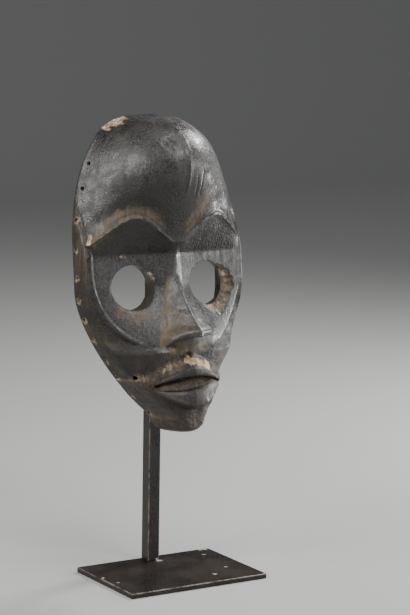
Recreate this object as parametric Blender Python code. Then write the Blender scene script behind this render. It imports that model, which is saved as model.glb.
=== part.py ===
# A carved wooden face mask held on its metal stand: a flat foot, an upright and a short stay.
# Frame: origin at the centre of the foot's underside, +Z up, the face looks along -Y.
# Sizes are real sizes in millimetres; MM turns them into metres where a mesh is made.

import bpy
import bmesh
import numpy as np
from math import cos, pi, radians, sin

MM = 0.001
GAP = 0.3                   # clearance left between neighbouring pieces

# The stand
FOOT_WIDTH = 120.0          # along X
FOOT_DEPTH = 86.0           # along Y
FOOT_THICKNESS = 4.0
FOOT_EDGE = 0.6             # broken corner of the plate's edges
POST_X = 1.9                # the upright stands a little to one side of the middle
POST_Y = 36.0               # and close to the back edge of the foot
POST_WIDTH = 10.2
POST_DEPTH = 10.4
POST_SHOULDER = 246.0       # the square bar ends here, behind the bridge of the nose
SPIGOT_SIDE = 5.4           # the slimmer end that carries the crown
SPIGOT_TOP = 342.2          # it meets the roof of the hollow
TAPER = 10.0                # height over which the bar narrows
CORNER = 0.5                # its broken corners
STAY_DIAMETER = 5.0         # short pin from the upright to the back of the chin
STAY_HEIGHT = 121.5
STAY_GAP = 1.2              # between its end and the back of the chin

# The mask as it stands
EYE_HEIGHT = 226.5          # the eye line above the floor
RIM_BACK = 30.0             # the flat back of the rim, behind the eye line's axis
LEAN = radians(6.0)         # the crown leans back

# Outline of the mask, measured from the eye line
CROWN_TOP = 132.0
CHIN_BOTTOM = -112.5
HALF_WIDTH = 71.3
TEMPLE_TOP = 35.0           # the sides are straight between here
CHEEK_TURN = -2.0           # and here
CHIN_HALF = 11.8            # half width of the squared chin
CHIN_TOP = -100.0
CHIN_SHIFT = 2.5            # the chin sits a little towards +X
CROWN_SHIFT = -3.0          # and the crown is fuller towards -X
SHOULDER = 0.955            # share of the outline where the front turns into the side wall
DOME_FROM = 60.0            # above this the forehead falls to the rim without a side wall

# Forehead and brows, depths measured forward from the rim's back
FOREHEAD_DEPTH = 57.8
FOREHEAD_HEIGHT = 92.0
FOREHEAD_RADIUS = 40.5
ROOT_DEPTH = 37.0
ROOT_HEIGHT = 37.0
BROW_PEAK_X = 36.0
BROW_PEAK = 53.5
BROW_REACH = 35.0
BROW_FALL = 23.0
BROW_LOW = 34.5
BROW_HOLLOW = 1.8
CREASE = 25.5               # foot of the sloping sockets
TEMPLE_WALL = 18.5

# Eyes and cheeks
EYE_X = 32.8
EYE_Z = 0.8
EYE_RADIUS = 17.2
EYE_DEPTH = 21.5
EYE_TURN = 0.128            # the eye plane falls back towards the temples
BRIDGE_ROUND = 9.0           # and both halves round into each other
CHEEK_RISE = 22.0
CHEEK_HALF = 67.3
CHEEK_TOP = 20.0
CHEEK_LOW = -51.0
CHEEK_STEP = 4.0

# Nose
NOSE_TIP = 66.5
NOSE_BASE = -37.2
WING_X = 18.0
WING_DROP = (6.8, 0.5)       # how far the base dips at the left wing and the right
WING_FALL = (17.5, 13.0)     # and how far each wing lies behind the tip

# Muzzle, lips and chin
MUZZLE_DEPTH = 46.0
JAW_SIDE = 21.0
CHIN_SIDE = 36.0
LIP_HALF = 31.0
LIP_FRONT = 56.8
LIP_ROUND = 0.0185
UPPER_LIP_TOP = -59.6
UPPER_LIP_EDGE = -67.4
LOWER_LIP_EDGE = -75.8
LOWER_LIP_BOTTOM = -91.0
MOUTH_DEPTH = 6.0
SHELF_TOP = -52.0
SHELF_DROP = 20.5
SHELF_HALF = 39.0
SHELF_DEPTH = 51.0
SHELF_FALL = (26.0, 22.0)

# The hollow back
HOLLOW_TOP = 121.0
HOLLOW_BOTTOM = -101.0
HOLLOW_SHARE = 0.76         # its width against the outline's
HOLLOW_WALL = 9.0
HOLLOW_SHOULDER = 0.93
HOLLOW_SKIRT = 6.0          # the cutter goes on behind the rim by this much

# Small holes round the rim and at the corners of the muzzle
RIM_HOLE_HEIGHTS = (97, 78, 54, 32, 10, -7, -22, -38, -55, -68, -83, -97)
RIM_HOLE_RADIUS = 1.6
RIM_HOLE_SETBACK = 5.0
RIM_HOLE_SIDES = 6
RIM_HOLE_LENGTH = 28.0
MUZZLE_HOLE = (35.5, -66.5, 25.0)
MUZZLE_HOLE_RADIUS = 2.0
MUZZLE_HOLE_LENGTH = 30.0

# Fineness of the carved surfaces
FACE_STEPS = 150
FACE_KEEP = 0.120
CORE_STEPS = 34
FLAT_SHARE = 0.86           # share of the grid that covers the front
SETTLE = 16                 # rounds in which a bent row finds its height
EYE_SIDES = 28
EYE_CUT = 90.0              # length of the rods that cut the eyes


def clear_scene():
    for item in list(bpy.data.objects):
        bpy.data.objects.remove(item, do_unlink=True)


def material(name, colour, roughness, metallic=0.0):
    made = bpy.data.materials.new(name)
    made.use_nodes = True
    shader = made.node_tree.nodes["Principled BSDF"]
    shader.inputs["Base Color"].default_value = (*colour, 1.0)
    shader.inputs["Roughness"].default_value = roughness
    shader.inputs["Metallic"].default_value = metallic
    return made


def piece(name, bm, finish=None, parent=None):
    mesh = bpy.data.meshes.new(name)
    bm.normal_update()
    bm.to_mesh(mesh)
    bm.free()
    made = bpy.data.objects.new(name, mesh)
    bpy.context.collection.objects.link(made)
    if finish:
        mesh.materials.append(finish)
    if parent:
        made.parent = parent
    return made


def cutter(made):
    made.hide_render = True
    made.display_type = "WIRE"
    return made


def cut_with(target, tool):
    step = target.modifiers.new("cut " + tool.name, "BOOLEAN")
    step.operation = "DIFFERENCE"
    step.solver = "EXACT"
    step.object = tool


# Blending functions for the carving

def ease(start, end, value):
    t = np.clip((value - start) / (end - start), 0.0, 1.0)
    return t * t * (3.0 - 2.0 * t)


def soft_min(a, b, width):
    h = np.clip(0.5 + 0.5 * (b - a) / width, 0.0, 1.0)
    return b + (a - b) * h - width * h * (1.0 - h)


def soft_max(a, b, width):
    return -soft_min(-a, -b, width)


# Outline: an egg with straight temples, a tapering jaw and a squared chin

def half_width(z):
    up = np.clip((z - TEMPLE_TOP) / (CROWN_TOP - TEMPLE_TOP), 0.0, 1.0)
    down = np.clip((CHEEK_TURN - z) / (CHEEK_TURN - CHIN_BOTTOM), 0.0, 1.0)
    crown = HALF_WIDTH * (1.0 - up ** 2) ** 0.35
    jaw = HALF_WIDTH * (1.0 - down ** 1.6)
    below = np.clip(CHIN_TOP - z, 0.0, None) / (CHIN_TOP - CHIN_BOTTOM)
    chin = CHIN_HALF * np.sqrt(np.clip(1.0 - below ** 2, 0.0, 1.0))
    closing = np.sqrt(np.clip((z - CHIN_BOTTOM) / 3.0, 0.0, 1.0))
    return np.where(z > -60.0, np.minimum(crown, jaw), soft_max(jaw, chin, 6.0) * closing)


def lean_aside(z):
    return CHIN_SHIFT * ease(-80.0, -105.0, z) + CROWN_SHIFT * ease(108.0, 130.0, z)


# Forehead: a high dome that falls back to the root of the nose and to the temples

def brow_line(x):
    t = (np.abs(x) - BROW_PEAK_X) / BROW_REACH
    arch = (np.sqrt(t * t + 0.09) - 0.3) / 0.744
    return soft_max(BROW_PEAK - BROW_FALL * arch, BROW_LOW, 2.0)


def forehead(x, z):
    across = np.clip(np.abs(x) / np.maximum(half_width(z), 1.0), 0.0, 1.0)
    rise = ROOT_DEPTH + (FOREHEAD_DEPTH - ROOT_DEPTH) * ease(ROOT_HEIGHT, FOREHEAD_HEIGHT, z)
    over = np.clip(z - FOREHEAD_HEIGHT, 0.0, None) / FOREHEAD_RADIUS
    fall = FOREHEAD_DEPTH * np.sqrt(np.clip(1.0 - over ** 2, 0.0, 1.0))
    middle = np.where(z > FOREHEAD_HEIGHT, fall, rise)
    fullness = 1.95 + 3.1 * np.exp(-np.clip(z - 40.0, -8.0, None) / 14.0)
    hollow = np.exp(-((z - brow_line(x) - 9.0) / 6.5) ** 2)
    hollow = hollow * ease(72.0, 50.0, np.abs(x)) * ease(2.0, 16.0, np.abs(x))
    dome = middle * (1.0 - across ** fullness) - BROW_HOLLOW * hollow
    return soft_max(dome, TEMPLE_WALL * ease(78.0, 18.0, z), 5.0)


# Eye plane: two flat cheeks, turned back to the temples, that come forward to the muzzle

def eye_plane(x, z):
    a = np.abs(x)
    forward = CHEEK_RISE * ease(5.0, -47.0, z) * np.clip(soft_min(1.0, 1.4 - a / 45.0, 0.3), 0.0, 1.0)
    bridge = 3.5 * np.exp(-(a / 13.0) ** 2)
    return EYE_DEPTH - EYE_TURN * (np.hypot(x, BRIDGE_ROUND) - EYE_X) + forward + bridge


def cheek_border(z):
    t = np.clip((CHEEK_TOP - z) / (CHEEK_TOP - CHEEK_LOW), 0.0, 1.0)
    return CHEEK_HALF * np.clip(1.0 - t ** 2.2, 0.0, 1.0) ** 0.45


def upper_face(x, z):
    brow = brow_line(x)
    crease = eye_plane(x, np.full_like(x, CREASE))
    up = np.clip((z - CREASE) / np.maximum(brow - CREASE, 1.0), 0.0, 1.0)
    socket = crease + (forehead(x, brow) - crease) * up
    lower = np.where(z > CREASE, socket, eye_plane(x, z))
    return np.where(z > brow, forehead(x, z), lower)


# Jaw: a full muzzle inside a band that steps back from the cheeks

def jaw(x, z):
    side = JAW_SIDE + (CHIN_SIDE - JAW_SIDE) * ease(-62.0, -90.0, z)
    across = np.clip(np.abs(x) / np.maximum(half_width(z), 4.0), 0.0, 1.0)
    fullness = 2.8 + 3.5 * ease(2.0, -8.0, z - shelf_crest(x))
    return side + (MUZZLE_DEPTH - side) * (1.0 - across ** fullness)


def face_ground(x, z):
    a = np.abs(x)
    step = 1.0 + (CHEEK_STEP - 1.0) * ease(-5.0, -40.0, z)
    muzzle = jaw(x, z)
    band = soft_min(muzzle, eye_plane(x, z) - step, 1.0)
    band = band + (muzzle - band) * ease(-39.0, -50.0, z)
    low = ease(2.0, -10.0, z)
    upper = upper_face(x, z)
    outside = upper * (1.0 - low) + band * low
    raised = upper * (1.0 - low) + np.maximum(upper, band) * low
    lean = cheek_border(z + 0.5) - cheek_border(z - 0.5)
    inside = ease(1.2, -1.2, (a - cheek_border(z)) / np.hypot(1.0, lean))
    inside = inside * (1.0 - ease(26.0, 14.0, a) * ease(-38.0, -46.0, z))
    return outside + (raised - outside) * inside


# Nose: a wedge whose ridge sweeps out to the tip, with flared wings and an undercut base

def nose_base(x):
    drop = np.where(x < 0.0, WING_DROP[0], WING_DROP[1])
    return NOSE_BASE - drop * np.clip(np.abs(x) / WING_X, 0.0, 1.3) ** 2.2


def nose(x, z):
    a = np.abs(x)
    ridge = np.interp(-z, (-37, -25, -15, -9, 0, 17, 32, 36), (37, 31, 29.5, 30.5, 36, 49.7, 64.5, NOSE_TIP))
    width = np.interp(-z, (-37, -9, 9, 31, 44), (6.0, 7.0, 9.5, 15.0, WING_X))
    blunt = 0.6 + 7.0 * ease(2.0, 24.0, z)
    fallen = (np.hypot(a, blunt) - blunt) / (np.hypot(width, blunt) - blunt)
    side = ridge - (ridge - eye_plane(width, z) + 1.0) * fallen ** 1.05
    side = np.where((a < 1.3 * width) & (z < ROOT_HEIGHT), side, 0.0)
    under = nose_base(x)
    fall = np.where(x < 0.0, WING_FALL[0], WING_FALL[1])
    wing = NOSE_TIP - 1.0 - fall * np.clip(a / WING_X, 0.0, 1.0) ** 1.2
    wing = wing - 0.3 * (z - under - 3.6) ** 2 - 2.0 * np.clip(a - WING_X + 1.5, 0.0, None) ** 2
    return soft_max(side, wing, 2.0) * ease(-2.5, 0.3, z - under)


# Mouth: a ridge over the upper lip, two parted lips and the hollow between them

def mouth_lines(x):
    t = np.clip(np.abs(x) / LIP_HALF, 0.0, 1.3)
    upper_top = UPPER_LIP_TOP - 13.0 * t ** 1.6
    upper_edge = UPPER_LIP_EDGE - 6.8 * t ** 1.9
    sag = np.where(x < 0.0, -1.8 * np.clip(1.0 - (2.0 * t - 1.0) ** 2, 0.0, 1.0), 11.3 * t ** 1.5)
    lower_edge = soft_min(LOWER_LIP_EDGE + sag, upper_edge - 1.5, 2.0)
    lower_bottom = np.minimum(LOWER_LIP_BOTTOM + 15.2 * t ** 1.75, lower_edge - 1.5)
    return upper_top, upper_edge, lower_edge, lower_bottom


def shelf_crest(x):
    return SHELF_TOP - SHELF_DROP * np.clip(np.abs(x) / SHELF_HALF, 0.0, 1.1) ** 1.7


def shelf(x, z):
    a = np.abs(x)
    crest = shelf_crest(x)
    lip_top = mouth_lines(x)[0]
    fall = np.where(x < 0.0, SHELF_FALL[0], SHELF_FALL[1])
    back = SHELF_DEPTH - fall * np.clip(a / SHELF_HALF, 0.0, 1.1) ** 1.5
    front = LIP_FRONT - LIP_ROUND * a ** 2 - 3.0
    out = np.clip((crest - z) / (crest - lip_top), 0.0, 1.0)
    depth = back + (front - back) * out - 1.6 * np.clip(z - crest, 0.0, None) ** 1.2
    return depth - 12.0 * ease(34.0, 44.0, a) - 25.0 * ease(0.0, -7.0, z - lip_top)


def with_mouth(x, z, ground):
    a = np.abs(x)
    upper_top, upper_edge, lower_edge, lower_bottom = mouth_lines(x)
    front = LIP_FRONT - LIP_ROUND * a ** 2
    end = 11.0 * np.clip((a - LIP_HALF + 9.0) / 9.0, 0.0, 1.3) ** 2
    e = (2.0 * z - upper_top - upper_edge) / np.maximum(upper_top - upper_edge, 1.6)
    upper = front - e ** 2 - 3.0 * e ** 6 - end
    e = np.clip((2.0 * z - lower_edge - lower_bottom) / np.maximum(lower_edge - lower_bottom, 1.6), -1.8, 1.8)
    lower = front - 0.5 - 2.5 * e ** 6 - 1.5 * np.clip(e, 0.0, 2.0) ** 2 - end
    made = soft_max(ground, upper, 1.5)
    made = soft_max(made, lower, 1.5)
    gap = np.clip((upper_edge - z) / (upper_edge - lower_edge), 0.0, 1.0)
    inside = front - 1.2 - MOUTH_DEPTH * (1.0 - gap) ** 1.2 - end
    parted = ease(0.8, -0.8, z - upper_edge) * ease(-0.8, 0.8, z - lower_edge)
    parted = parted * ease(LIP_HALF - 1.0, LIP_HALF - 7.0, a)
    return made + (inside - made) * parted


def carved_face(x, z):
    made = soft_max(face_ground(x, z), nose(x, z), 2.0)
    made = soft_max(made, shelf(x, z), 1.2)
    return with_mouth(x, z, made)


# Hollow: follows the face inside, smoother, with the wall between them

def hollow_width(z):
    share = (z - HOLLOW_BOTTOM) / (HOLLOW_TOP - HOLLOW_BOTTOM)
    return HOLLOW_SHARE * half_width(CHIN_BOTTOM + share * (CROWN_TOP - CHIN_BOTTOM))


def hollow_depth(x, z):
    across = np.clip(np.abs(x) / np.maximum(hollow_width(z), 1.0), 0.0, 1.0)
    over = np.clip(z - FOREHEAD_HEIGHT + 6.0, 0.0, None) / (FOREHEAD_RADIUS - 4.0)
    crown = (ROOT_DEPTH - HOLLOW_WALL) + (FOREHEAD_DEPTH - ROOT_DEPTH) * ease(ROOT_HEIGHT, FOREHEAD_HEIGHT, z)
    crown = crown * np.sqrt(np.clip(1.0 - over ** 2, 0.04, 1.0)) * (1.0 - 0.6 * across ** 2.4)
    eyes = EYE_DEPTH - HOLLOW_WALL + 12.0 * np.exp(-(x / 11.0) ** 2) * ease(15.0, -25.0, z)
    mouth = (MUZZLE_DEPTH - HOLLOW_WALL - 3.0) * (1.0 - 0.75 * across ** 2.0)
    mouth = mouth * (1.0 - 0.5 * ease(-70.0, -100.0, z))
    up = ease(20.0, 52.0, z)
    down = ease(-8.0, -50.0, z)
    return eyes * (1.0 - up - down) + crown * up + mouth * down


# The rows of the grid are bent to run along the brows, the base of the nose and the lips,
# so that these edges stay crisp. A row's name is the height that it starts from.

def feature_rows(row, x):
    upper_top, upper_edge, lower_edge, lower_bottom = mouth_lines(np.clip(x, -LIP_HALF, LIP_HALF))
    crest = shelf_crest(np.clip(x, -SHELF_HALF, SHELF_HALF))
    under = nose_base(x)
    lines = (
        (CHIN_BOTTOM, CHIN_BOTTOM),
        (-104.0, -104.0),
        (-90.0, lower_bottom),
        (-70.0, lower_edge),
        (-61.0, upper_edge),
        (-51.0, upper_top),
        (-42.0, crest),
        (-38.0, crest + 2.5),
        (-31.0, under - 2.6),
        (-25.0, under + 0.3),
        (0.0, -10.0),
        (31.0, CREASE),
        (50.0, brow_line(x)),
        (78.0, 70.0),
        (CROWN_TOP, CROWN_TOP),
    )
    names = [name for name, line in lines]
    return sum(np.interp(row, names, np.eye(len(names))[k]) * lines[k][1] for k in range(len(names)))


def plain_rows(row, x):
    return row


# A carved solid: square grid drawn onto a disc, stretched to the outline, turned down to the back

def carved_solid(name, steps, width, depth, rows, top, bottom, shoulder, skirt, parent):
    side = np.linspace(-1.0, 1.0, steps + 1)
    across, up = np.meshgrid(side, side)
    u = across * np.sqrt(1.0 - up * up / 2.0)
    v = up * np.sqrt(1.0 - across * across / 2.0)
    reach = np.maximum(np.hypot(u, v), 1e-9)
    u, v = u / reach, v / reach
    turn = np.clip((reach - FLAT_SHARE) / (1.0 - FLAT_SHARE), 0.0, 1.0) * pi / 2.0
    flat = np.minimum(reach, FLAT_SHARE) / FLAT_SHARE * shoulder
    outer = np.clip(flat + (1.0 - shoulder) * np.sin(turn) ** 0.9, 0.0, 1.0)
    height = np.where(reach < FLAT_SHARE, 1.0, np.clip(np.cos(turn), 0.0, 1.0) ** 0.75)
    middle, half = 0.5 * (top + bottom), 0.5 * (top - bottom)

    def placed(share):
        row = middle + v * share * half
        part = u * share / np.sqrt(np.clip(1.0 - (v * share) ** 2, 1e-6, 1.0))
        z = row
        for settle in range(SETTLE):
            z = rows(row, part * width(z))
        return part * width(z), z

    x, z = placed(outer)
    walled = depth(*placed(flat)) * height
    forward = walled + (depth(x, z) - walled) * ease(DOME_FROM, DOME_FROM + 20.0, z)
    forward = np.where(reach > 1.0 - 1e-6, 0.0, forward)
    shift = lean_aside(z)
    bm = bmesh.new()
    grid = [[bm.verts.new(((x[i, j] + shift[i, j]) * MM, (RIM_BACK - forward[i, j]) * MM, z[i, j] * MM))
             for j in range(steps + 1)] for i in range(steps + 1)]
    for i in range(steps):
        for j in range(steps):
            bm.faces.new((grid[i][j], grid[i][j + 1], grid[i + 1][j + 1], grid[i + 1][j]))
    edge = grid[0][:-1] + [row[-1] for row in grid[:-1]] + grid[-1][:0:-1] + [row[0] for row in grid[:0:-1]]
    if skirt:
        back = [bm.verts.new((vert.co.x, vert.co.y + skirt * MM, vert.co.z)) for vert in edge]
        for k, vert in enumerate(edge):
            after = (k + 1) % len(edge)
            bm.faces.new((edge[after], vert, back[k], back[after]))
        edge = back
    bm.faces.new(edge[::-1])
    bmesh.ops.recalc_face_normals(bm, faces=bm.faces)
    return piece(name, bm, parent=parent)


def make_mask(place):
    wood = material("dark patinated wood", (0.045, 0.036, 0.030), 0.42)
    mask = carved_solid("mask", FACE_STEPS, half_width, carved_face, feature_rows,
                        CROWN_TOP, CHIN_BOTTOM, SHOULDER, 0.0, place)
    mask.data.materials.append(wood)
    thin = mask.modifiers.new("fewer faces", "DECIMATE")
    thin.ratio = FACE_KEEP
    core = carved_solid("mask hollow", CORE_STEPS, hollow_width, hollow_depth, plain_rows,
                        HOLLOW_TOP, HOLLOW_BOTTOM, HOLLOW_SHOULDER, HOLLOW_SKIRT, place)
    cut_with(mask, cutter(core))
    cut_with(mask, cutter(eye_cutters(place)))
    cut_with(mask, cutter(rim_hole_cutters(place)))
    return mask


# Rods that the openings are cut with, each a prism with its middle at a point along a direction

def prism(bm, middle, along, radius, length, sides):
    along = np.array(along, float) / np.linalg.norm(along)
    side = np.cross(along, (0.0, 0.0, 1.0) if abs(along[2]) < 0.9 else (1.0, 0.0, 0.0))
    side = side / np.linalg.norm(side)
    other = np.cross(along, side)
    rings = []
    for end in (-0.5, 0.5):
        ring = []
        for k in range(sides):
            angle = 2.0 * pi * k / sides
            point = np.array(middle) + along * end * length
            point = point + radius * (side * cos(angle) + other * sin(angle))
            ring.append(bm.verts.new(point * MM))
        rings.append(ring)
    for k in range(sides):
        after = (k + 1) % sides
        bm.faces.new((rings[0][k], rings[0][after], rings[1][after], rings[1][k]))
    bm.faces.new(rings[0][::-1])
    bm.faces.new(rings[1])


def eye_cutters(place):
    bm = bmesh.new()
    for sign in (-1.0, 1.0):
        prism(bm, (sign * EYE_X, 0.0, EYE_Z), (0.0, 1.0, 0.0), EYE_RADIUS, EYE_CUT, EYE_SIDES)
    bmesh.ops.recalc_face_normals(bm, faces=bm.faces)
    return piece("eye holes", bm, parent=place)


def rim_hole_cutters(place):
    bm = bmesh.new()
    for z in RIM_HOLE_HEIGHTS:
        edge = float(half_width(np.array(float(z))))
        slope = float(half_width(np.array(z + 1.0)) - half_width(np.array(z - 1.0))) / 2.0
        shift = float(lean_aside(np.array(float(z))))
        for sign in (-1.0, 1.0):
            outward = np.array((sign, 0.0, -slope)) / np.hypot(1.0, slope)
            rim = np.array((sign * edge + shift, RIM_BACK - RIM_HOLE_SETBACK, z))
            prism(bm, rim - outward * 8.0, outward, RIM_HOLE_RADIUS, RIM_HOLE_LENGTH, RIM_HOLE_SIDES)
    x, z, depth = MUZZLE_HOLE
    for sign in (-1.0, 1.0):
        inward = np.array((-sign * 0.55, 0.8, 0.1))
        start = np.array((sign * x, RIM_BACK - depth, z))
        prism(bm, start + inward * 10.0, inward, MUZZLE_HOLE_RADIUS, MUZZLE_HOLE_LENGTH, RIM_HOLE_SIDES)
    bmesh.ops.recalc_face_normals(bm, faces=bm.faces)
    return piece("rim holes", bm, parent=place)


# The stand: a plate, an upright bar drawn down to a slimmer end, and a pin to the chin

def box(bm, low, high):
    made = bmesh.ops.create_cube(bm, size=1.0)["verts"]
    for vert in made:
        for axis in range(3):
            vert.co[axis] = (low[axis] if vert.co[axis] < 0.0 else high[axis]) * MM
    return made


def make_foot(metal):
    bm = bmesh.new()
    box(bm, (-FOOT_WIDTH / 2, -FOOT_DEPTH / 2, 0.0), (FOOT_WIDTH / 2, FOOT_DEPTH / 2, FOOT_THICKNESS))
    bmesh.ops.bevel(bm, geom=bm.edges[:], offset=FOOT_EDGE * MM, segments=2, profile=0.5, affect="EDGES")
    return piece("base_plate", bm, metal)


def make_post(metal):
    bm = bmesh.new()
    low = (POST_X - POST_WIDTH / 2, POST_Y - POST_DEPTH / 2, FOOT_THICKNESS + GAP)
    high = (POST_X + POST_WIDTH / 2, POST_Y + POST_DEPTH / 2, POST_SHOULDER)
    box(bm, low, high)
    bm.faces.ensure_lookup_table()
    top = max(bm.faces, key=lambda face: face.calc_center_median().z)
    for rise, side in ((TAPER, SPIGOT_SIDE), (SPIGOT_TOP - POST_SHOULDER - TAPER, SPIGOT_SIDE)):
        top = extruded(bm, top)
        for vert in top.verts:
            vert.co.z += rise * MM
            vert.co.x = (POST_X + np.sign(vert.co.x / MM - POST_X) * side / 2.0) * MM
            vert.co.y = (POST_Y + np.sign(vert.co.y / MM - POST_Y) * side / 2.0) * MM
    bmesh.ops.recalc_face_normals(bm, faces=bm.faces)
    upright = [e for e in bm.edges if abs(e.verts[0].co.z - e.verts[1].co.z) > 5.0 * MM]
    bmesh.ops.bevel(bm, geom=upright, offset=CORNER * MM, segments=2, profile=0.5, affect="EDGES")
    return piece("post", bm, metal)


def extruded(bm, face):
    made = bmesh.ops.extrude_face_region(bm, geom=[face])["geom"]
    bmesh.ops.delete(bm, geom=[face], context="FACES_ONLY")
    return [item for item in made if isinstance(item, bmesh.types.BMFace)][0]


def make_stay(metal):
    # from the upright's front to the flat back of the chin's rim
    chin_back = RIM_BACK * cos(LEAN) + (STAY_HEIGHT - EYE_HEIGHT) * sin(LEAN)
    start = POST_Y - POST_DEPTH / 2 - GAP
    end = chin_back + STAY_GAP
    bm = bmesh.new()
    prism(bm, (POST_X, (start + end) / 2, STAY_HEIGHT), (0.0, 1.0, 0.0), STAY_DIAMETER / 2, start - end, 16)
    bmesh.ops.recalc_face_normals(bm, faces=bm.faces)
    return piece("chin_stay", bm, metal)


clear_scene()
mask_place = bpy.data.objects.new("mask place", None)
bpy.context.collection.objects.link(mask_place)
mask_place.location = (0.0, 0.0, EYE_HEIGHT * MM)
mask_place.rotation_euler = (-LEAN, 0.0, 0.0)
make_mask(mask_place)
bronze = material("dark bronze paint", (0.040, 0.031, 0.026), 0.35, 0.6)
make_foot(bronze)
make_post(bronze)
make_stay(bronze)
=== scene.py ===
from math import cos, pi, radians, sin

import bpy
import numpy as np
from mathutils import Matrix, Vector


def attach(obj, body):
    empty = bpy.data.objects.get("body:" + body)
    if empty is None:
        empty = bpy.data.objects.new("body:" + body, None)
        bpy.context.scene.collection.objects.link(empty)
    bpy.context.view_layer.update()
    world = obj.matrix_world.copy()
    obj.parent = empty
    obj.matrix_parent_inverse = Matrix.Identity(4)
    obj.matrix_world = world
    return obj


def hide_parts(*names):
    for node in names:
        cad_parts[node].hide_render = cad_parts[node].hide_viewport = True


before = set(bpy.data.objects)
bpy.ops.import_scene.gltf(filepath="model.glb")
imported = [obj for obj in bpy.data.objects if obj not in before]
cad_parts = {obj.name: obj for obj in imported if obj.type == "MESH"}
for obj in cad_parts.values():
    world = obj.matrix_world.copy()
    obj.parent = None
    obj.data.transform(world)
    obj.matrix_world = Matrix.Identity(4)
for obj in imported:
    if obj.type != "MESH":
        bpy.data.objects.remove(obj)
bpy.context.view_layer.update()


# Floor and backdrop
# A plain pale sweep: one sheet that runs flat under the foot plate and turns up far behind it.
bpy.ops.object.select_all(action="DESELECT")
bpy.ops.mesh.primitive_plane_add(size=9.0, location=(0.0, 0.0, 0.0))
sweep = bpy.context.object
sweep.name = "studio_sweep"
bpy.ops.object.mode_set(mode="EDIT")
bpy.ops.mesh.select_mode(type="EDGE")
bpy.ops.mesh.select_all(action="DESELECT")
bpy.ops.object.mode_set(mode="OBJECT")
for edge in sweep.data.edges:
    edge.select = all(sweep.data.vertices[v].co.y > 4.0 for v in edge.vertices)
bpy.ops.object.mode_set(mode="EDIT")
bpy.ops.mesh.extrude_region_move(TRANSFORM_OT_translate={"value": (0.0, 0.0, 5.0)})
bpy.ops.object.mode_set(mode="OBJECT")
turn = sweep.modifiers.new("turn up", "BEVEL")
turn.width = 2.0
turn.segments = 24
turn.limit_method = "ANGLE"
bpy.ops.object.modifier_apply(modifier=turn.name)
bpy.ops.object.shade_smooth()

paper = bpy.data.materials.new("pale_paper")
paper.use_nodes = True
paper_shader = paper.node_tree.nodes["Principled BSDF"]
paper_shader.inputs["Base Color"].default_value = (0.42, 0.415, 0.405, 1.0)
paper_shader.inputs["Roughness"].default_value = 0.85
sweep.data.materials.append(paper)


# Studio light
# Soft boxes and a dim room: the main one on the right and a little behind, wide weak ones to both
# sides of the face, small ones above it for the forehead and crown, and a low one for the lips.
def soft_box(name, azimuth, elevation, distance, size, watts, aim=(0.0, 0.0, 0.22)):
    away = Vector((sin(radians(azimuth)) * cos(radians(elevation)),
                   -cos(radians(azimuth)) * cos(radians(elevation)), sin(radians(elevation))))
    data = bpy.data.lights.new(name, "AREA")
    data.shape = "RECTANGLE"
    data.size = size[0]
    data.size_y = size[1]
    data.energy = watts
    lamp = bpy.data.objects.new(name, data)
    bpy.context.scene.collection.objects.link(lamp)
    lamp.location = Vector(aim) + away * distance
    lamp.rotation_euler = away.to_track_quat("Z", "Y").to_euler()
    return lamp


soft_box("main_light", 108.0, 35.0, 1.25, (0.22, 0.30), 14.0)
soft_box("right_light", 54.0, 8.0, 1.5, (0.6, 0.7), 10.5)
soft_box("front_light", 6.0, 44.0, 1.4, (0.35, 0.35), 7.0)
soft_box("left_light", -84.0, 30.0, 1.4, (0.7, 0.9), 17.0)
soft_box("low_light", 93.0, -3.0, 1.1, (0.26, 0.18), 6.5)
soft_box("top_light", 10.0, 76.0, 1.3, (0.5, 0.5), 6.5)

room = bpy.data.worlds.new("soft_room")
room.use_nodes = True
room.node_tree.nodes["Background"].inputs["Color"].default_value = (0.80, 0.82, 0.85, 1.0)
room.node_tree.nodes["Background"].inputs["Strength"].default_value = 0.24
bpy.context.scene.world = room


# Camera
# A long lens to the viewer's left of the mask and a little above it, looking slightly down.
CAMERA_AZIMUTH = radians(-31.226)
CAMERA_YAW = radians(-0.779)
CAMERA_PITCH = radians(8.827)
CAMERA_ROLL = radians(0.929)
CAMERA_REACH = 1.6626
CAMERA_HEIGHT = 0.46887
heading = CAMERA_AZIMUTH + CAMERA_YAW
level = Vector((-sin(heading), cos(heading), 0.0))
ahead = level * cos(CAMERA_PITCH) + Vector((0.0, 0.0, -sin(CAMERA_PITCH)))
right = Vector((cos(heading), sin(heading), 0.0))
up = right.cross(ahead)
rolled_right = right * cos(CAMERA_ROLL) + up * sin(CAMERA_ROLL)
rolled_up = up * cos(CAMERA_ROLL) - right * sin(CAMERA_ROLL)
camera_data = bpy.data.cameras.new("camera")
camera_data.sensor_fit = "HORIZONTAL"
camera_data.sensor_width = 36.0
camera_data.lens = 193.93
camera = bpy.data.objects.new("camera", camera_data)
bpy.context.scene.collection.objects.link(camera)
camera.matrix_world = Matrix((
    (rolled_right.x, rolled_up.x, -ahead.x, sin(CAMERA_AZIMUTH) * CAMERA_REACH),
    (rolled_right.y, rolled_up.y, -ahead.y, -cos(CAMERA_AZIMUTH) * CAMERA_REACH),
    (rolled_right.z, rolled_up.z, -ahead.z, CAMERA_HEIGHT),
    (0.0, 0.0, 0.0, 1.0),
))
bpy.context.scene.camera = camera


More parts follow.
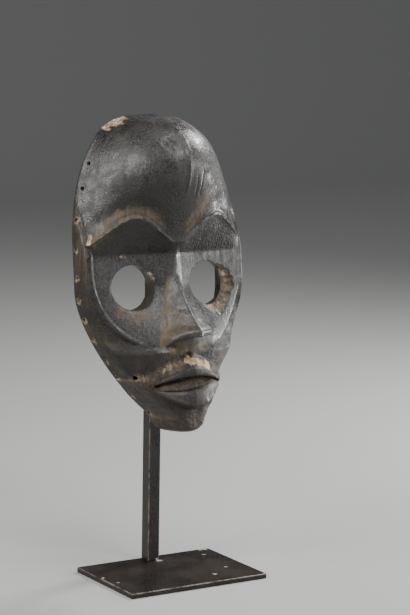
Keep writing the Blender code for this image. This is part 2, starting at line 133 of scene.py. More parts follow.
# Mask
# One block of wood carved to a face with a high dome, hollowed out behind, with round eyes cut
# through and small holes drilled round the rim. The carving is worked out in millimetres from
# the eye line: x to the viewer's right, z up, and depth forward from the flat back of the rim.
MM = 0.001
EYE_HEIGHT = 226.5
RIM_BACK = 30.0
LEAN = radians(6.0)
CROWN_TOP = 132.0
CHIN_BOTTOM = -112.5
HALF_WIDTH = 71.3
TEMPLE_TOP = 35.0
CHEEK_TURN = -2.0
CHIN_HALF = 11.8
CHIN_TOP = -100.0
CHIN_SHIFT = 2.5
CROWN_SHIFT = -3.0
SHOULDER = 0.955
DOME_FROM = 42.0
FOREHEAD_DEPTH = 57.8
FOREHEAD_HEIGHT = 92.0
FOREHEAD_RADIUS = 40.5
ROOT_DEPTH = 37.0
ROOT_HEIGHT = 37.0
BROW_PEAK_X = 36.0
BROW_PEAK = 53.5
BROW_REACH = 35.0
BROW_FALL = 23.0
BROW_LOW = 34.5
BROW_HOLLOW = 1.8
CREASE = 25.5
TEMPLE_WALL = 18.5
EYE_X = 32.8
EYE_Z = 0.8
EYE_RADIUS = 17.2
EYE_DEPTH = 21.5
EYE_TURN = 0.128
BRIDGE_ROUND = 9.0
CHEEK_RISE = 22.0
CHEEK_HALF = 67.3
CHEEK_TOP = 20.0
CHEEK_LOW = -51.0
CHEEK_STEP = 4.0
NOSE_TIP = 66.5
NOSE_BASE = -37.2
WING_X = 18.0
WING_DROP = (6.8, 0.5)
WING_FALL = (17.5, 13.0)
MUZZLE_DEPTH = 46.0
JAW_SIDE = 21.0
CHIN_SIDE = 36.0
LIP_HALF = 31.0
LIP_FRONT = 56.8
LIP_ROUND = 0.0185
UPPER_LIP_TOP = -59.6
UPPER_LIP_EDGE = -67.4
LOWER_LIP_EDGE = -75.8
LOWER_LIP_BOTTOM = -91.0
MOUTH_DEPTH = 6.0
SHELF_TOP = -52.0
SHELF_DROP = 20.5
SHELF_HALF = 39.0
SHELF_DEPTH = 51.0
SHELF_FALL = (26.0, 22.0)
HOLLOW_TOP = 121.0
HOLLOW_BOTTOM = -101.0
HOLLOW_SHARE = 0.76
HOLLOW_WALL = 9.0
HOLLOW_SHOULDER = 0.93
HOLLOW_SKIRT = 6.0
FACE_STEPS = 270
HOLLOW_STEPS = 90
FLAT_SHARE = 0.86
SETTLING_ROUNDS = 16
SIDES = (-1.0, 1.0)
RIM_HOLES = (97, 78, 54, 32, 10, -7, -22, -38, -55, -68, -83, -97)
RIM_HOLE_DEPTH = 5.0
RIM_HOLE_RADIUS = 1.6
RIM_HOLE_LENGTH = 28.0
MUZZLE_HOLE = (35.5, 25.0, -66.5)
MUZZLE_HOLE_ALONG = (-0.55, 0.8, 0.1)
MUZZLE_HOLE_RADIUS = 2.0
MUZZLE_HOLE_LENGTH = 30.0
EYE_CUT_LENGTH = 90.0


def ease(start, end, value):
    t = np.clip((value - start) / (end - start), 0.0, 1.0)
    return t * t * (3.0 - 2.0 * t)


def soft_min(a, b, width):
    h = np.clip(0.5 + 0.5 * (b - a) / width, 0.0, 1.0)
    return b + (a - b) * h - width * h * (1.0 - h)


def soft_max(a, b, width):
    return -soft_min(-a, -b, width)


def half_width(z):
    rising = np.clip((z - TEMPLE_TOP) / (CROWN_TOP - TEMPLE_TOP), 0.0, 1.0)
    down = np.clip((CHEEK_TURN - z) / (CHEEK_TURN - CHIN_BOTTOM), 0.0, 1.0)
    crown = HALF_WIDTH * (1.0 - rising ** 2) ** 0.35
    jaw_line = HALF_WIDTH * (1.0 - down ** 1.6)
    below = np.clip(CHIN_TOP - z, 0.0, None) / (CHIN_TOP - CHIN_BOTTOM)
    chin = CHIN_HALF * np.sqrt(np.clip(1.0 - below ** 2, 0.0, 1.0))
    closing = np.sqrt(np.clip((z - CHIN_BOTTOM) / 3.0, 0.0, 1.0))
    return np.where(z > -60.0, np.minimum(crown, jaw_line), soft_max(jaw_line, chin, 6.0) * closing)


def lean_aside(z):
    return CHIN_SHIFT * ease(-80.0, -105.0, z) + CROWN_SHIFT * ease(108.0, 130.0, z)


def brow_line(x):
    t = (np.abs(x) - BROW_PEAK_X) / BROW_REACH
    arch = (np.sqrt(t * t + 0.09) - 0.3) / 0.744
    return soft_max(BROW_PEAK - BROW_FALL * arch, BROW_LOW, 2.0)


def forehead(x, z):
    across = np.clip(np.abs(x) / np.maximum(half_width(z), 1.0), 0.0, 1.0)
    rise = ROOT_DEPTH + (FOREHEAD_DEPTH - ROOT_DEPTH) * ease(ROOT_HEIGHT, FOREHEAD_HEIGHT, z)
    over = np.clip(z - FOREHEAD_HEIGHT, 0.0, None) / FOREHEAD_RADIUS
    fall = FOREHEAD_DEPTH * np.sqrt(np.clip(1.0 - over ** 2, 0.0, 1.0))
    middle = np.where(z > FOREHEAD_HEIGHT, fall, rise)
    fullness = 1.95 + 3.1 * np.exp(-np.clip(z - 40.0, -8.0, None) / 14.0)
    hollow = np.exp(-((z - brow_line(x) - 9.0) / 6.5) ** 2)
    hollow = hollow * ease(72.0, 50.0, np.abs(x)) * ease(2.0, 16.0, np.abs(x))
    dome = middle * (1.0 - across ** fullness) - BROW_HOLLOW * hollow
    return soft_max(dome, TEMPLE_WALL * ease(78.0, 18.0, z), 5.0)


def eye_plane(x, z):
    a = np.abs(x)
    forward = CHEEK_RISE * ease(5.0, -47.0, z) * np.clip(soft_min(1.0, 1.4 - a / 45.0, 0.3), 0.0, 1.0)
    bridge = 3.5 * np.exp(-(a / 13.0) ** 2)
    return EYE_DEPTH - EYE_TURN * (np.hypot(x, BRIDGE_ROUND) - EYE_X) + forward + bridge


def cheek_border(z):
    t = np.clip((CHEEK_TOP - z) / (CHEEK_TOP - CHEEK_LOW), 0.0, 1.0)
    return CHEEK_HALF * np.clip(1.0 - t ** 2.2, 0.0, 1.0) ** 0.45


def upper_face(x, z):
    brow = brow_line(x)
    crease = eye_plane(x, np.full_like(x, CREASE))
    climb = np.clip((z - CREASE) / np.maximum(brow - CREASE, 1.0), 0.0, 1.0)
    socket = crease + (forehead(x, brow) - crease) * climb
    lower = np.where(z > CREASE, socket, eye_plane(x, z))
    return np.where(z > brow, forehead(x, z), lower)


def jaw(x, z):
    side = JAW_SIDE + (CHIN_SIDE - JAW_SIDE) * ease(-62.0, -90.0, z)
    across = np.clip(np.abs(x) / np.maximum(half_width(z), 4.0), 0.0, 1.0)
    fullness = 2.8 + 3.5 * ease(2.0, -8.0, z - shelf_crest(x))
    return side + (MUZZLE_DEPTH - side) * (1.0 - across ** fullness)


def face_ground(x, z):
    a = np.abs(x)
    step = 1.0 + (CHEEK_STEP - 1.0) * ease(-5.0, -40.0, z)
    muzzle = jaw(x, z)
    band = soft_min(muzzle, eye_plane(x, z) - step, 1.0)
    band = band + (muzzle - band) * ease(-39.0, -50.0, z)
    low = ease(2.0, -10.0, z)
    upper = upper_face(x, z)
    outside = upper * (1.0 - low) + band * low
    raised = upper * (1.0 - low) + np.maximum(upper, band) * low
    lean = cheek_border(z + 0.5) - cheek_border(z - 0.5)
    inside = ease(1.2, -1.2, (a - cheek_border(z)) / np.hypot(1.0, lean))
    inside = inside * (1.0 - ease(26.0, 14.0, a) * ease(-38.0, -46.0, z))
    return outside + (raised - outside) * inside


def nose_base(x):
    drop = np.where(x < 0.0, WING_DROP[0], WING_DROP[1])
    return NOSE_BASE - drop * np.clip(np.abs(x) / WING_X, 0.0, 1.3) ** 2.2


def nose(x, z):
    a = np.abs(x)
    ridge = np.interp(-z, (-37, -25, -15, -9, 0, 17, 32, 36),
                      (37, 31, 29.5, 30.5, 36, 49.7, 64.5, NOSE_TIP))
    width = np.interp(-z, (-37, -9, 9, 31, 44), (6.0, 7.0, 9.5, 15.0, WING_X))
    blunt = 0.6 + 7.0 * ease(2.0, 24.0, z)
    fallen = (np.hypot(a, blunt) - blunt) / (np.hypot(width, blunt) - blunt)
    side = ridge - (ridge - eye_plane(width, z) + 1.0) * fallen ** 1.05
    side = np.where((a < 1.3 * width) & (z < ROOT_HEIGHT), side, 0.0)
    under = nose_base(x)
    fall = np.where(x < 0.0, WING_FALL[0], WING_FALL[1])
    wing = NOSE_TIP - 1.0 - fall * np.clip(a / WING_X, 0.0, 1.0) ** 1.2
    wing = wing - 0.3 * (z - under - 3.6) ** 2 - 2.0 * np.clip(a - WING_X + 1.5, 0.0, None) ** 2
    return soft_max(side, wing, 2.0) * ease(-2.5, 0.3, z - under)


def mouth_lines(x):
    t = np.clip(np.abs(x) / LIP_HALF, 0.0, 1.3)
    upper_top = UPPER_LIP_TOP - 13.0 * t ** 1.6
    upper_edge = UPPER_LIP_EDGE - 6.8 * t ** 1.9
    sag = np.where(x < 0.0, -1.8 * np.clip(1.0 - (2.0 * t - 1.0) ** 2, 0.0, 1.0), 11.3 * t ** 1.5)
    lower_edge = soft_min(LOWER_LIP_EDGE + sag, upper_edge - 1.5, 2.0)
    lower_bottom = np.minimum(LOWER_LIP_BOTTOM + 15.2 * t ** 1.75, lower_edge - 1.5)
    return upper_top, upper_edge, lower_edge, lower_bottom


def shelf_crest(x):
    return SHELF_TOP - SHELF_DROP * np.clip(np.abs(x) / SHELF_HALF, 0.0, 1.1) ** 1.7


def shelf(x, z):
    a = np.abs(x)
    crest = shelf_crest(x)
    lip_top = mouth_lines(x)[0]
    fall = np.where(x < 0.0, SHELF_FALL[0], SHELF_FALL[1])
    back = SHELF_DEPTH - fall * np.clip(a / SHELF_HALF, 0.0, 1.1) ** 1.5
    front = LIP_FRONT - LIP_ROUND * a ** 2 - 3.0
    out = np.clip((crest - z) / (crest - lip_top), 0.0, 1.0)
    depth = back + (front - back) * out - 1.6 * np.clip(z - crest, 0.0, None) ** 1.2
    return depth - 12.0 * ease(34.0, 44.0, a) - 25.0 * ease(0.0, -7.0, z - lip_top)


def with_mouth(x, z, ground):
    a = np.abs(x)
    upper_top, upper_edge, lower_edge, lower_bottom = mouth_lines(x)
    front = LIP_FRONT - LIP_ROUND * a ** 2
    end = 11.0 * np.clip((a - LIP_HALF + 9.0) / 9.0, 0.0, 1.3) ** 2
    e = (2.0 * z - upper_top - upper_edge) / np.maximum(upper_top - upper_edge, 1.6)
    upper = front - e ** 2 - 3.0 * e ** 6 - end
    e = (2.0 * z - lower_edge - lower_bottom) / np.maximum(lower_edge - lower_bottom, 1.6)
    e = np.clip(e, -1.8, 1.8)
    lower = front - 0.5 - 2.5 * e ** 6 - 1.5 * np.clip(e, 0.0, 2.0) ** 2 - end
    made = soft_max(ground, upper, 1.5)
    made = soft_max(made, lower, 1.5)
    gap = np.clip((upper_edge - z) / (upper_edge - lower_edge), 0.0, 1.0)
    inside = front - 1.2 - MOUTH_DEPTH * (1.0 - gap) ** 1.2 - end
    parted = ease(0.8, -0.8, z - upper_edge) * ease(-0.8, 0.8, z - lower_edge)
    parted = parted * ease(LIP_HALF - 1.0, LIP_HALF - 7.0, a)
    return made + (inside - made) * parted


def carved_face(x, z):
    made = soft_max(face_ground(x, z), nose(x, z), 2.0)
    made = soft_max(made, shelf(x, z), 1.2)
    return with_mouth(x, z, made)


# Smooth uneven noise between -1 and 1, with lumps of about the given size
def lumps(x, z, size, seed):
    table = np.random.default_rng(seed).uniform(-1.0, 1.0, (64, 64))
    u, v = np.asarray(x) / size + 200.3, np.asarray(z) / size + 200.7
    i, j = np.floor(u).astype(int), np.floor(v).astype(int)
    fu, fv = ease(0.0, 1.0, u - i), ease(0.0, 1.0, v - j)
    low = table[i % 64, j % 64] * (1.0 - fu) + table[(i + 1) % 64, j % 64] * fu
    high = table[i % 64, (j + 1) % 64] * (1.0 - fu) + table[(i + 1) % 64, (j + 1) % 64] * fu
    return low * (1.0 - fv) + high * fv


# How far each point lies from a line through the given places, and a soft ragged mark along it
def away_from(x, z, line):
    far = np.full(np.shape(x), 1e3)
    for (x0, z0), (x1, z1) in zip(line[:-1], line[1:]):
        run = np.hypot(x1 - x0, z1 - z0) ** 2
        t = np.clip(((x - x0) * (x1 - x0) + (z - z0) * (z1 - z0)) / run, 0.0, 1.0)
        far = np.minimum(far, np.hypot(x - x0 - t * (x1 - x0), z - z0 - t * (z1 - z0)))
    return far


def mark(x, z, width, line, ragged=0.35, soft=0.45):
    far = away_from(x, z, line) / width
    far = far + ragged * lumps(x, z, 2.3, 5) + 0.6 * ragged * lumps(x, z, 0.9, 6)
    return ease(1.0, soft, far)


def brow_lip(x, z):
    # the thin rounded edge along each brow, with a shallow groove above it
    rise = z - brow_line(x)
    along = ease(69.0, 63.0, np.abs(x)) * ease(3.0, 12.0, np.abs(x))
    return along * (1.0 * np.exp(-((rise + 0.3) / 1.1) ** 2) - 0.45 * np.exp(-((rise - 2.6) / 1.3) ** 2))


def cheek_lip(x, z):
    # the cheek ends in a low raised edge with a knife line inside it
    lean = cheek_border(z + 0.5) - cheek_border(z - 0.5)
    inward = (cheek_border(z) - np.abs(x)) / np.hypot(1.0, lean)
    along = ease(-47.0, -40.0, z) * ease(34.0, 28.0, z) * ease(8.0, -2.0, x)
    raised = 0.45 * np.exp(-((inward - 1.6) / 1.1) ** 2)
    return along * (raised - 0.35 * np.exp(-((inward - 4.0) / 0.9) ** 2))


def eye_splinters(x, z):
    # the right eye has lost the wood at its outer and lower edge, in short splinters
    out, rise = x - EYE_X, z - EYE_Z
    reach, angle = np.hypot(out, rise), np.arctan2(rise, out)
    side = ease(-2.2, -1.3, angle) * ease(0.95, 0.1, angle)
    teeth = 1.0 + 0.28 * lumps(angle * 9.0, reach * 0.1, 1.0, 11)
    teeth = teeth + 0.12 * lumps(angle * 24.0, reach * 0.2, 1.0, 12)
    width = np.maximum((8.2 - 3.0 * ease(-0.9, -1.9, angle)) * side * teeth, 0.05)
    lost = np.clip((EYE_RADIUS + width - reach) / 8.0, 0.0, 1.0)
    return lost * (side > 0.0), side


def left_eye_wear(x, z):
    out, rise = x + EYE_X, z - EYE_Z
    reach, angle = np.hypot(out, rise), np.arctan2(rise, out)
    ragged = 1.1 + 0.9 * lumps(angle * 6.0, reach * 0.05, 1.0, 21)
    notch = 1.8 * np.exp(-((angle + 1.45) / 0.13) ** 2)
    return np.clip((EYE_RADIUS + ragged + notch - reach) / 2.2, 0.0, 1.0)


CROWN_CHIP = ((-41.5, 122.5), (-35.5, 126.6), (-29.7, 129.4), (-24.5, 131.0))
LIP_CHIP = ((-4.5, -54.5), (2.5, -56.0), (9.0, -58.2), (14.0, -60.5))
SCRATCHES = (
    ((-19.0, 75.5), (-13.0, 71.5), (-8.0, 67.4)),
    ((-15.0, 77.5), (-9.5, 73.0), (-6.5, 69.8)),
    ((-24.0, 66.0), (-19.5, 60.0)),
    ((8.5, 84.0), (9.2, 66.0)),
    ((14.0, 88.0), (13.0, 70.0)),
)
CURLS = ((-15.5, 107.4), (-12.4, 109.4), (-9.6, 107.6), (-13.0, 104.2))


def low_relief(x, z):
    made = 0.8 * np.exp(-(np.abs(x - 0.6) / 1.5) ** 1.5) * ease(66.0, 82.0, z) * ease(116.0, 104.0, z)
    made = made + brow_lip(x, z) + cheek_lip(x, z)
    made = made - 4.6 * eye_splinters(x, z)[0] ** 0.8 - 0.9 * left_eye_wear(x, z)
    # the carver's facets everywhere, and a rougher adze finish outside the cheeks and on the jaw
    outside = ease(-1.0, 2.5, np.abs(x) - cheek_border(z)) * ease(16.0, 0.0, z)
    outside = outside * ease(-8.0, -2.0, mouth_lines(x)[3] - z + 6.0 * (np.abs(x) > LIP_HALF))
    made = made + 0.24 * lumps(x, z * 0.6, 9.0, 1) + 0.10 * lumps(x, z * 0.5, 3.2, 2)
    made = made + outside * (0.7 * lumps(x + 0.5 * z, z, 5.5, 3) + 0.35 * lumps(x, z, 2.2, 4))
    # bumps on the left of the nose, chips, and the marks on the forehead
    made = made + 0.8 * lumps(x, z, 3.4, 8) * mark(x, z, 9.0, ((-8.0, -20.0), (-8.0, -30.0)), 0.0, 0.2)
    made = made - 1.6 * mark(x, z, 3.6, CROWN_CHIP) - 0.7 * mark(x, z, 4.2, LIP_CHIP)
    made = made - 1.8 * mark(x, z, 1.8, ((-14.8, 125.5), (-14.2, 131.0)), 0.1, 0.2)
    for line in SCRATCHES:
        made = made - 0.35 * mark(x, z, 1.0, line, 0.1, 0.2)
    for cx, cz in CURLS:
        ring = np.exp(-((np.hypot(x - cx, z - cz) - 1.8) / 0.7) ** 2)
        made = made - 0.9 * ring * ease(-2.2, 0.5, x - cx)
    return made


def detailed_face(x, z):
    made = carved_face(x, z)
    return made + low_relief(x, z) * ease(0.0, 10.0, made)


def feature_rows(row, x):
    upper_top, upper_edge, lower_edge, lower_bottom = mouth_lines(np.clip(x, -LIP_HALF, LIP_HALF))
    crest = shelf_crest(np.clip(x, -SHELF_HALF, SHELF_HALF))
    under = nose_base(x)
    lines = (
        (CHIN_BOTTOM, CHIN_BOTTOM),
        (-104.0, -104.0),
        (-90.0, lower_bottom),
        (-70.0, lower_edge),
        (-61.0, upper_edge),
        (-51.0, upper_top),
        (-42.0, crest),
        (-38.0, crest + 2.5),
        (-31.0, under - 2.6),
        (-25.0, under + 0.3),
        (0.0, -10.0),
        (31.0, CREASE),
        (50.0, brow_line(x)),
        (78.0, 70.0),
        (CROWN_TOP, CROWN_TOP),
    )
    names = [name for name, line in lines]
    return sum(np.interp(row, names, np.eye(len(names))[k]) * lines[k][1] for k in range(len(names)))


def plain_rows(row, x):
    return row


def hollow_width(z):
    share = (z - HOLLOW_BOTTOM) / (HOLLOW_TOP - HOLLOW_BOTTOM)
    return HOLLOW_SHARE * half_width(CHIN_BOTTOM + share * (CROWN_TOP - CHIN_BOTTOM))


def hollow_depth(x, z):
    across = np.clip(np.abs(x) / np.maximum(hollow_width(z), 1.0), 0.0, 1.0)
    over = np.clip(z - FOREHEAD_HEIGHT + 6.0, 0.0, None) / (FOREHEAD_RADIUS - 4.0)
    crown = ROOT_DEPTH - HOLLOW_WALL
    crown = crown + (FOREHEAD_DEPTH - ROOT_DEPTH) * ease(ROOT_HEIGHT, FOREHEAD_HEIGHT, z)
    crown = crown * np.sqrt(np.clip(1.0 - over ** 2, 0.04, 1.0)) * (1.0 - 0.6 * across ** 2.4)
    eyes = EYE_DEPTH - HOLLOW_WALL + 12.0 * np.exp(-(x / 11.0) ** 2) * ease(15.0, -25.0, z)
    mouth = (MUZZLE_DEPTH - HOLLOW_WALL - 3.0) * (1.0 - 0.75 * across ** 2.0)
    mouth = mouth * (1.0 - 0.5 * ease(-70.0, -100.0, z))
    rising = ease(20.0, 52.0, z)
    down = ease(-8.0, -50.0, z)
    gouges = 0.35 * np.sin(0.55 * x + 1.5 * np.sin(0.11 * z)) * np.sin(0.21 * z + 0.8 * np.sin(0.2 * x))
    return eyes * (1.0 - rising - down) + crown * rising + mouth * down + gouges


def in_place(x, depth, z):
    y = RIM_BACK - depth
    return np.stack((x, y * cos(LEAN) + z * sin(LEAN), EYE_HEIGHT + z * cos(LEAN) - y * sin(LEAN)), -1) * MM


def select_only(piece):
    bpy.ops.object.select_all(action="DESELECT")
    piece.select_set(True)
    bpy.context.view_layer.objects.active = piece


def carved_block(name, steps, width, depth, rows, top, bottom, shoulder, dome_from, skirt):
    bpy.ops.object.select_all(action="DESELECT")
    bpy.ops.mesh.primitive_grid_add(x_subdivisions=steps, y_subdivisions=steps, size=2.0,
                                    location=(0.0, 0.0, 0.0))
    block = bpy.context.object
    block.name = name
    co = np.empty(len(block.data.vertices) * 3)
    block.data.vertices.foreach_get("co", co)
    across, upward = co.reshape(-1, 3)[:, 0], co.reshape(-1, 3)[:, 1]
    u = across * np.sqrt(1.0 - upward ** 2 / 2.0)
    v = upward * np.sqrt(1.0 - across ** 2 / 2.0)
    reach = np.maximum(np.hypot(u, v), 1e-9)
    u, v = u / reach, v / reach
    turning = np.clip((reach - FLAT_SHARE) / (1.0 - FLAT_SHARE), 0.0, 1.0) * pi / 2.0
    flat = np.minimum(reach, FLAT_SHARE) / FLAT_SHARE * shoulder
    outer = np.clip(flat + (1.0 - shoulder) * np.sin(turning) ** 0.9, 0.0, 1.0)
    height = np.where(reach < FLAT_SHARE, 1.0, np.clip(np.cos(turning), 0.0, 1.0) ** 0.75)
    middle, half = 0.5 * (top + bottom), 0.5 * (top - bottom)

    def placed(share):
        row = middle + v * share * half
        part = u * share / np.sqrt(np.clip(1.0 - (v * share) ** 2, 1e-6, 1.0))
        z = row
        for settle in range(SETTLING_ROUNDS):
            z = rows(row, part * width(z))
        return part * width(z), z

    x, z = placed(outer)
    walled = depth(*placed(flat)) * height
    forward = walled + (depth(x, z) - walled) * ease(dome_from, dome_from + 20.0, z)
    forward = np.where(reach > 1.0 - 1e-6, 0.0, forward)
    block.data.vertices.foreach_set("co", in_place(x + lean_aside(z), forward, z).ravel())
    select_only(block)
    bpy.ops.object.mode_set(mode="EDIT")
    bpy.ops.mesh.select_all(action="SELECT")
    bpy.ops.mesh.region_to_loop()
    if skirt:
        back = Vector((0.0, cos(LEAN), -sin(LEAN))) * skirt * MM
        bpy.ops.mesh.extrude_region_move(TRANSFORM_OT_translate={"value": back})
    bpy.ops.mesh.edge_face_add()
    bpy.ops.mesh.quads_convert_to_tris(ngon_method="BEAUTY")
    bpy.ops.mesh.select_all(action="SELECT")
    bpy.ops.mesh.normals_make_consistent(inside=False)
    bpy.ops.object.mode_set(mode="OBJECT")
    return block


def cut_with(target, tool):
    select_only(target)
    step = target.modifiers.new("cut", "BOOLEAN")
    step.operation = "DIFFERENCE"
    step.solver = "MANIFOLD"
    step.object = tool
    bpy.ops.object.modifier_apply(modifier=step.name)
    bpy.data.objects.remove(tool, do_unlink=True)


def rod(name, middle, along, radius, length, sides):
    bpy.ops.object.select_all(action="DESELECT")
    bpy.ops.mesh.primitive_cylinder_add(vertices=sides, radius=radius * MM, depth=length * MM)
    made = bpy.context.object
    made.name = name
    lean = Matrix.Rotation(-LEAN, 4, "X")
    at = Matrix.Translation((0.0, 0.0, EYE_HEIGHT * MM))
    turned = Vector(along).to_track_quat("Z", "Y").to_matrix().to_4x4()
    made.data.transform(at @ lean @ Matrix.Translation(Vector(middle) * MM) @ turned)
    return made


mask = carved_block("carved_mask", FACE_STEPS, half_width, detailed_face, feature_rows,
                    CROWN_TOP, CHIN_BOTTOM, SHOULDER, DOME_FROM, 0.0)
core = carved_block("hollow", HOLLOW_STEPS, hollow_width, hollow_depth, plain_rows,
                    HOLLOW_TOP, HOLLOW_BOTTOM, HOLLOW_SHOULDER, HOLLOW_TOP, HOLLOW_SKIRT)
cut_with(mask, core)

# eyes, rim holes and the two holes at the corners of the muzzle
drills = [rod("eye", (sign * EYE_X, 0.0, EYE_Z), (0.0, 1.0, 0.0), EYE_RADIUS, EYE_CUT_LENGTH, 96)
          for sign in SIDES]
for z in RIM_HOLES:
    edge = float(half_width(np.array(float(z))))
    slope = float(half_width(np.array(z + 1.0)) - half_width(np.array(z - 1.0))) / 2.0
    aside = float(lean_aside(np.array(float(z))))
    for sign in SIDES:
        outward = Vector((sign, 0.0, -slope)).normalized()
        rim = Vector((sign * edge + aside, RIM_BACK - RIM_HOLE_DEPTH, z))
        drills.append(rod("rim_hole", rim - outward * 8.0, outward, RIM_HOLE_RADIUS, RIM_HOLE_LENGTH, 14))
for sign in SIDES:
    inward = Vector((sign * MUZZLE_HOLE_ALONG[0], *MUZZLE_HOLE_ALONG[1:])).normalized()
    start = Vector((sign * MUZZLE_HOLE[0], RIM_BACK - MUZZLE_HOLE[1], MUZZLE_HOLE[2]))
    middle = start + inward * MUZZLE_HOLE_LENGTH / 3.0
    drills.append(rod("muzzle_hole", middle, inward, MUZZLE_HOLE_RADIUS, MUZZLE_HOLE_LENGTH, 16))
bpy.ops.object.select_all(action="DESELECT")
for drill in drills:
    drill.select_set(True)
bpy.context.view_layer.objects.active = drills[0]
bpy.ops.object.join()
cut_with(mask, drills[0])
select_only(mask)
bpy.ops.object.shade_smooth()
bpy.ops.object.shade_smooth_by_angle(angle=radians(38.0))


# Patina of the mask
# Smoked and oiled hardwood, rubbed grey on the cheeks and lips and brown along the brows and the nose, with
# bare wood at the chips and round the drilled holes. Painted into the colour are shade, nearly black, under
# the brows, the nose and the lower lip, beside the left cheek, in the eye holes and in hollows of the
# forehead, and sheen and highlights on the forehead, the left temple, the brow edges, the shelf crest and
# the chin.
def laid_flat(piece):
    co = np.empty(len(piece.data.vertices) * 3)
    piece.data.vertices.foreach_get("co", co)
    co = co.reshape(-1, 3) / MM
    back, rise = co[:, 1], co[:, 2] - EYE_HEIGHT
    return co[:, 0], RIM_BACK - back * cos(LEAN) + rise * sin(LEAN), rise * cos(LEAN) + back * sin(LEAN)


def paint(piece, name, amount):
    layer = piece.data.attributes.new(name, "FLOAT", "POINT")
    layer.data.foreach_set("value", np.clip(amount, 0.0, 1.0).astype(np.float32))


# each stroke is its strength, its half width and raggedness, and the places that it runs through
LEFT_BROW = ((-63.0, 38.0), (-53.0, 50.5), (-45.0, 56.5), (-36.0, 59.5), (-25.0, 57.5), (-16.0, 51.0))
RIGHT_BROW = ((9.0, 46.0), (14.0, 52.0), (20.0, 58.0))
BROWN_STROKES = (
    (0.8, 5.2, 0.6, LEFT_BROW),
    (0.5, 8.0, 0.6, ((17.0, 62.0), (26.0, 74.0))),
    (0.7, 4.5, 0.7, ((-44.0, -17.0), (-36.0, -20.5), (-26.0, -19.0))),
    (0.8, 2.6, 0.4, ((-5.0, 6.0), (-8.0, -8.0), (-14.0, -24.0))),
    (1.2, 3.6, 0.3, ((-15.0, -26.0), (-18.5, -36.0), (-20.5, -44.0))),
    (0.6, 8.0, 0.5, ((-9.0, -22.0), (-8.0, -30.0))),
    (0.7, 7.0, 0.3, ((-14.0, -47.0), (12.0, -46.0))),
    (1.0, 6.0, 0.5, ((-11.0, -101.0), (-7.0, -108.0))),
)
BARE_STROKES = (
    (0.75, 3.6, 0.35, CROWN_CHIP),
    (1.2, 4.2, 0.35, LIP_CHIP),
    (0.9, 1.7, 0.2, ((-66.0, 35.5), (-63.8, 41.5))),
    (0.5, 1.3, 0.5, ((-41.5, 24.4), (-38.5, 24.8))),
    (0.45, 1.0, 0.5, ((-31.0, 21.9), (-29.5, 21.0))),
    (0.7, 1.4, 0.3, ((-16.0, 6.5), (-17.4, 9.5), (-19.0, 11.5))),
    (0.15, 11.0, 0.4, ((6.0, -97.0), (6.0, -105.0))),
)
SHADED_FOREHEAD_HOLLOW = ((-38.0, 73.0), (-20.0, 70.0), (-8.0, 56.0), (-2.0, 46.0))
SHEEN_GAP_LEFT = ((-25.0, 118.0), (-25.5, 100.0), (-24.0, 84.0))
DARKER_RIGHT_FOREHEAD = ((28.0, 90.0), (38.0, 72.0))
RUBBED_AND_SHEEN_DOME = ((-30.0, 96.0), (-8.0, 94.0), (14.0, 100.0))
RUBBED_CROWN = ((-13.0, 127.0), (2.0, 128.0))
CHIN_RUB_AND_SHEEN = ((5.0, -97.0), (5.0, -106.0))


def strokes(x, z, listed):
    return sum(strength * mark(x, z, width, line, ragged) for strength, width, ragged, line in listed)


x, depth, z = laid_flat(mask)
a = np.abs(x)
left = ease(3.0, -3.0, x)
border = a - cheek_border(z)
brow = z - brow_line(x)
upper_top, upper_edge, lower_edge, lower_bottom = mouth_lines(x)
off_lips = ease(LIP_HALF + 1.0, LIP_HALF - 3.0, a)
within = ease(2.0, -1.0, a - hollow_width(z)) * ease(-3.0, -6.0, depth - carved_face(x, z))
inner = within * ease(HOLLOW_TOP + 3.0, HOLLOW_TOP, z) * ease(HOLLOW_BOTTOM - 3.0, HOLLOW_BOTTOM, z)
from_eye = np.hypot(a - EYE_X, z - EYE_Z) - EYE_RADIUS
eye_wall = ease(0.6, 0.1, from_eye) * ease(24.0, 18.0, z) * (1.0 - inner)
lost, lost_side = eye_splinters(x, z)
in_mouth = ease(0.5, -1.5, z - upper_edge) * ease(-0.8, 0.8, z - lower_edge) * off_lips
lips = ease(0.6, -0.6, z - upper_top) * ease(-0.6, 0.6, z - lower_bottom) * off_lips * (1.0 - in_mouth)
lips = lips * (0.25 + 0.5 * ease(0.0, -1.0, z - lower_edge))
crest_line = tuple((at, float(shelf_crest(np.array(at))) - 2.6)
                   for at in (-38.0, -30.0, -22.0, -14.0, -7.0, 0.0))
# the chin's patch of rubbing and painted sheen, lighter and freer of dirt
chin_rub_and_sheen = mark(x, z, 15.0, CHIN_RUB_AND_SHEEN, 0.3, 0.2)

# brown, where the dark coat has thinned
brown = strokes(x, z, BROWN_STROKES)
brown = brown + 0.9 * mark(x, z, 5.5, RIGHT_BROW) * (brow > 0.0)
# the shelf crest is browned as worn wood, and lightened also as painted light on its up-facing band
brown = brown + 1.6 * mark(x, z, 4.6, crest_line, 0.3)
brown = brown + in_mouth * (0.7 + 0.5 * lumps(x, z, 4.0, 31))
brown = brown + 0.35 * left * ease(-1.0, 3.0, border) * ease(-8.0, 20.0, z)
brown = brown + 0.45 * ease(-1.0, 3.0, border) * ease(10.0, -10.0, z) * (0.6 + 0.8 * lumps(x, z, 6.0, 32))
brown = brown + 1.3 * np.clip(lost * 3.0, 0.0, 1.0)

